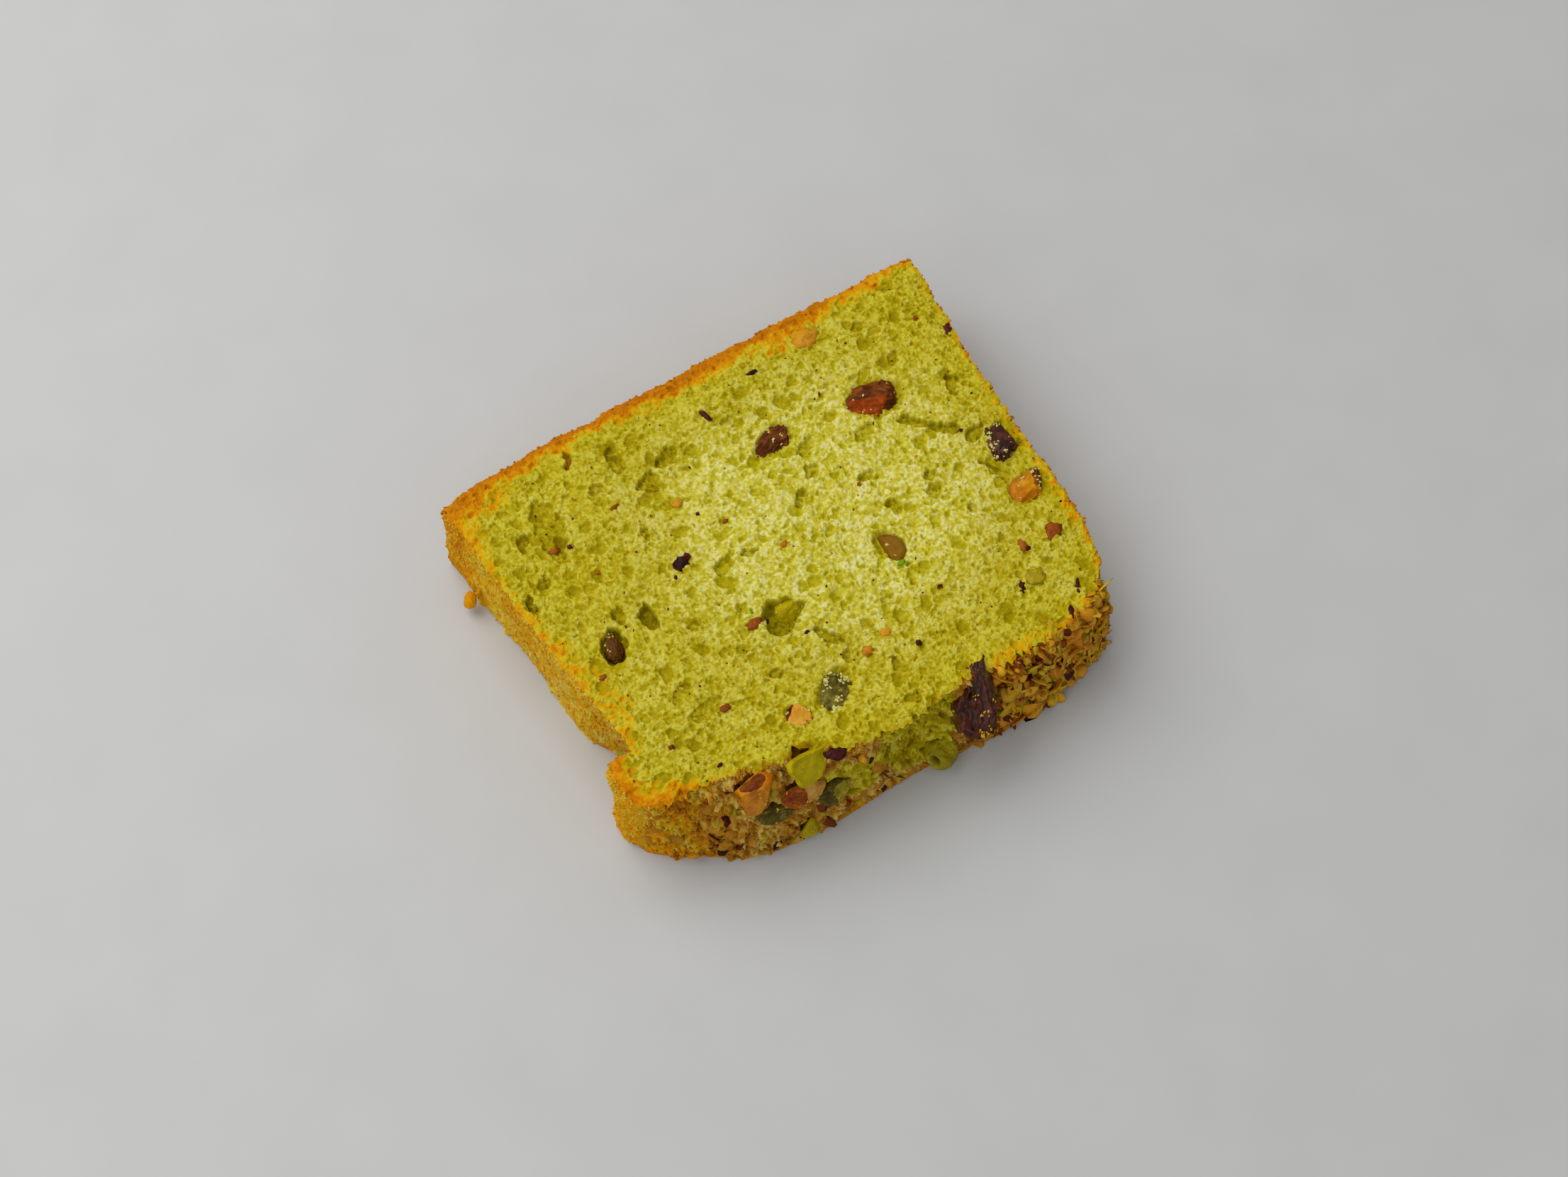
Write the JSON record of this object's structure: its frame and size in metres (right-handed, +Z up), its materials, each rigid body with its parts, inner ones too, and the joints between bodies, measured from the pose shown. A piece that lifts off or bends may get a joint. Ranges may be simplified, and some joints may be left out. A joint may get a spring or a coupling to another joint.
{
  "type": "pistachio pound cake slice",
  "caption": "Thick slice of pistachio loaf cake lying on its cut face: pitted pale green crumb, golden crust, lipped domed top strewn with chopped nuts, and kernels set in the crumb.",
  "frame": {"origin": "on the lower cut face, on which the slice lies, at the middle of the slice's plan", "axes": "+Z up through the slice's thickness; +X along the edge that stood on the floor of the tin; -Y towards the domed top of the loaf"},
  "size_m": [0.0917, 0.0775, 0.0194],
  "materials": {
    "cake": "matte, moist open crumb with a golden crust",
    "nut_skin": "satin, dark red-brown roasted skin",
    "nut_amber": "satin, toasted amber kernel",
    "nut_olive": "satin, olive brown kernel",
    "nut_green": "satin, green kernel"
  },
  "bodies": {
    "root": {"cake_slice": "cake", "kernel_brown_large": "nut_skin", "kernel_brown_mid": "nut_skin", "kernel_edge_dark": "nut_skin", "kernel_edge_orange": "nut_amber", "kernel_mid_olive": "nut_olive", "kernel_pit_brown": "nut_olive", "kernel_pit_olive": "nut_olive", "kernel_grey_green": "nut_olive", "kernel_peach": "nut_amber", "kernel_dome_dark": "nut_skin", "kernel_dome_green": "nut_green", "kernel_amber": "nut_amber", "kernel_half_green": "nut_green", "kernel_cream": "nut_amber", "kernel_dark_green": "nut_green", "kernel_low_dark": "nut_olive", "kernel_wedge": "nut_green"}
  },
  "joints": []
}
